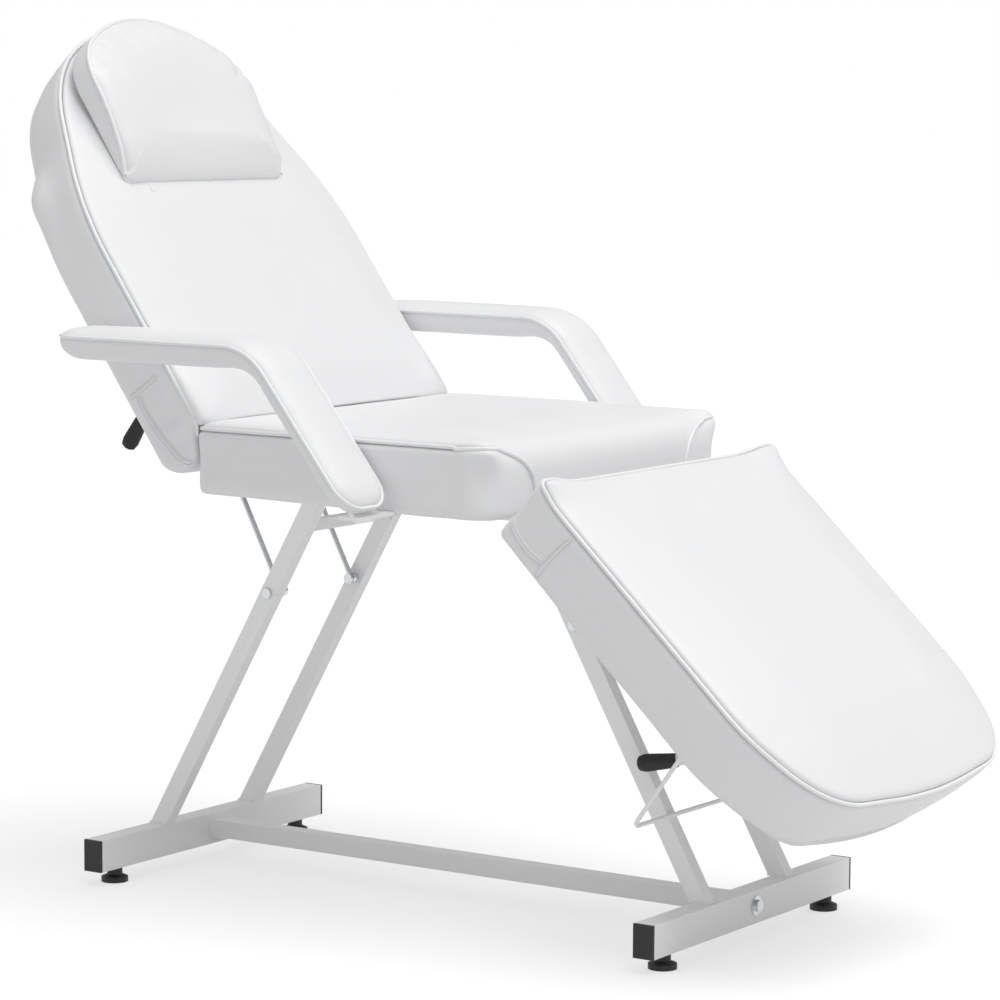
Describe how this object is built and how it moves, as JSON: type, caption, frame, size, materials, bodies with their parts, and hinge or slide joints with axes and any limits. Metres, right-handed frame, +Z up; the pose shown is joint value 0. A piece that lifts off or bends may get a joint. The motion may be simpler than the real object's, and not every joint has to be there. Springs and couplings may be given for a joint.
{
  "type": "adjustable treatment chair",
  "caption": "Padded salon and tattoo treatment chair with reclining back, raising leg rest, fixed armrests and sliding head pillow on a white tube base with levelling feet",
  "frame": {"origin": "on the floor under the middle of the chair's overall box", "axes": "+X towards the sitter's feet, +Y to the sitter's left, +Z up"},
  "size_m": [1.4081, 0.8246, 1.2146],
  "materials": {
    "white_vinyl": "satin soft-grain vinyl",
    "white_welt": "satin vinyl welt",
    "cushion_board": "sanded board with a white backing cloth",
    "white_steel": "satin powder coat",
    "bright_steel": "polished plating",
    "black_plastic": "fine matt moulding",
    "black_rubber": "matt",
    "black_grip": "matt sleeve"
  },
  "bodies": {
    "frame": {"head_base_beam": "white_steel", "foot_base_beam": "white_steel", "base_spine": "white_steel", "spine_bolt_head_end": "bright_steel", "spine_bolt_foot_end": "bright_steel", "head_beam_plug_left": "black_plastic", "head_beam_plug_right": "black_plastic", "foot_beam_plug_left": "black_plastic", "foot_beam_plug_right": "black_plastic", "head_leg_left": "white_steel", "head_leg_right": "white_steel", "foot_leg_left": "white_steel", "foot_leg_right": "white_steel", "head_leg_crossbar": "white_steel", "foot_leg_crossbar": "white_steel", "seat_rail_left": "white_steel", "seat_rail_right": "white_steel", "seat_board": "cushion_board", "seat_cushion": "white_vinyl", "seat_piping": "white_welt", "armrest_bracket_left": "white_steel", "armrest_bracket_right": "white_steel", "armrest_pad_left": "white_vinyl", "armrest_pad_right": "white_vinyl", "armrest_piping_left": "white_welt", "armrest_piping_right": "white_welt", "head_pivot_bolt_left": "bright_steel", "head_pivot_bolt_right": "bright_steel", "foot_pivot_bolt_left": "bright_steel", "foot_pivot_bolt_right": "bright_steel", "backrest_hinge_bolt_left": "bright_steel", "backrest_hinge_bolt_right": "bright_steel", "legrest_hinge_bolt_left": "bright_steel", "legrest_hinge_bolt_right": "bright_steel"},
    "backrest": {"backrest_board": "cushion_board", "backrest_cushion": "white_vinyl", "backrest_piping": "white_welt", "backrest_rail_left": "white_steel", "backrest_rail_right": "white_steel"},
    "pillow": {"head_pillow": "white_vinyl"},
    "backrest_struts": {"backrest_strut_left": "bright_steel", "backrest_strut_right": "bright_steel"},
    "backrest_carriage": {"backrest_carriage": "white_steel"},
    "backrest_release": {"backrest_lever": "bright_steel", "backrest_lever_grip": "black_grip"},
    "legrest": {"legrest_board": "cushion_board", "legrest_cushion": "white_vinyl", "legrest_piping": "white_welt", "legrest_rail_left": "white_steel", "legrest_rail_right": "white_steel", "legrest_stop_bail": "white_steel"},
    "legrest_struts": {"legrest_strut_left": "bright_steel", "legrest_strut_right": "bright_steel"},
    "legrest_carriage": {"legrest_carriage": "white_steel"},
    "legrest_release": {"legrest_lever": "bright_steel", "legrest_lever_grip": "black_grip"},
    "head_foot_left": {"head_levelling_foot_left": "black_rubber"},
    "head_foot_right": {"head_levelling_foot_right": "black_rubber"},
    "foot_foot_left": {"foot_levelling_foot_left": "black_rubber"},
    "foot_foot_right": {"foot_levelling_foot_right": "black_rubber"}
  },
  "joints": [
    {"name": "backrest_recline", "type": "hinge", "parent": "frame", "child": "backrest", "pos_m": [-0.2977, 0, 0.589], "axis": [0, -1, 0], "range_deg": [0, 54.5]},
    {"name": "legrest_raise", "type": "hinge", "parent": "frame", "child": "legrest", "pos_m": [0.2163, 0, 0.567], "axis": [0, -1, 0], "range_deg": [0, 44.5]},
    {"name": "pillow_slide", "type": "slide", "parent": "backrest", "child": "pillow", "axis": [0.5807, 0, -0.8141], "range_m": [0, 0.12]},
    {"name": "backrest_strut_swing", "type": "hinge", "parent": "frame", "child": "backrest_struts", "pos_m": [-0.27847, 0, 0.417], "axis": [0, -1, 0], "range_deg": [0, 35.52]},
    {"name": "backrest_carriage_slide", "type": "slide", "parent": "backrest", "child": "backrest_carriage", "axis": [-0.5807, 0, 0.8141], "range_m": [0, 0.10436]},
    {"name": "backrest_lever_pull", "type": "hinge", "parent": "backrest_carriage", "child": "backrest_release", "pos_m": [-0.44491, -0.13, 0.71738], "axis": [0, 1, 0], "range_deg": [0, 20], "stiffness_Nm_per_rad": 2, "springref_deg": -6.88},
    {"name": "legrest_strut_swing", "type": "hinge", "parent": "frame", "child": "legrest_struts", "pos_m": [0.23007, 0, 0.417], "axis": [0, -1, 0], "range_deg": [0, 59.27]},
    {"name": "legrest_carriage_slide", "type": "slide", "parent": "legrest", "child": "legrest_carriage", "axis": [-0.7133, 0, 0.7009], "range_m": [0, 0.12478]},
    {"name": "legrest_lever_pull", "type": "hinge", "parent": "legrest_carriage", "child": "legrest_release", "pos_m": [0.47276, -0.13, 0.26871], "axis": [0, 1, 0], "range_deg": [0, 20], "stiffness_Nm_per_rad": 2, "springref_deg": -6.88},
    {"name": "head_foot_left_height", "type": "slide", "parent": "frame", "child": "head_foot_left", "axis": [0, 0, -1], "range_m": [0, 0.012]},
    {"name": "head_foot_right_height", "type": "slide", "parent": "frame", "child": "head_foot_right", "axis": [0, 0, -1], "range_m": [0, 0.012]},
    {"name": "foot_foot_left_height", "type": "slide", "parent": "frame", "child": "foot_foot_left", "axis": [0, 0, -1], "range_m": [0, 0.012]},
    {"name": "foot_foot_right_height", "type": "slide", "parent": "frame", "child": "foot_foot_right", "axis": [0, 0, -1], "range_m": [0, 0.012]}
  ],
  "couplings": [
    {"joint": "backrest_strut_swing", "follows": "backrest_recline", "ratio": 0.65148},
    {"joint": "backrest_carriage_slide", "follows": "backrest_recline", "m_per_rad": 0.1096},
    {"joint": "legrest_strut_swing", "follows": "legrest_raise", "ratio": 1.3317},
    {"joint": "legrest_carriage_slide", "follows": "legrest_raise", "m_per_rad": 0.16053}
  ]
}
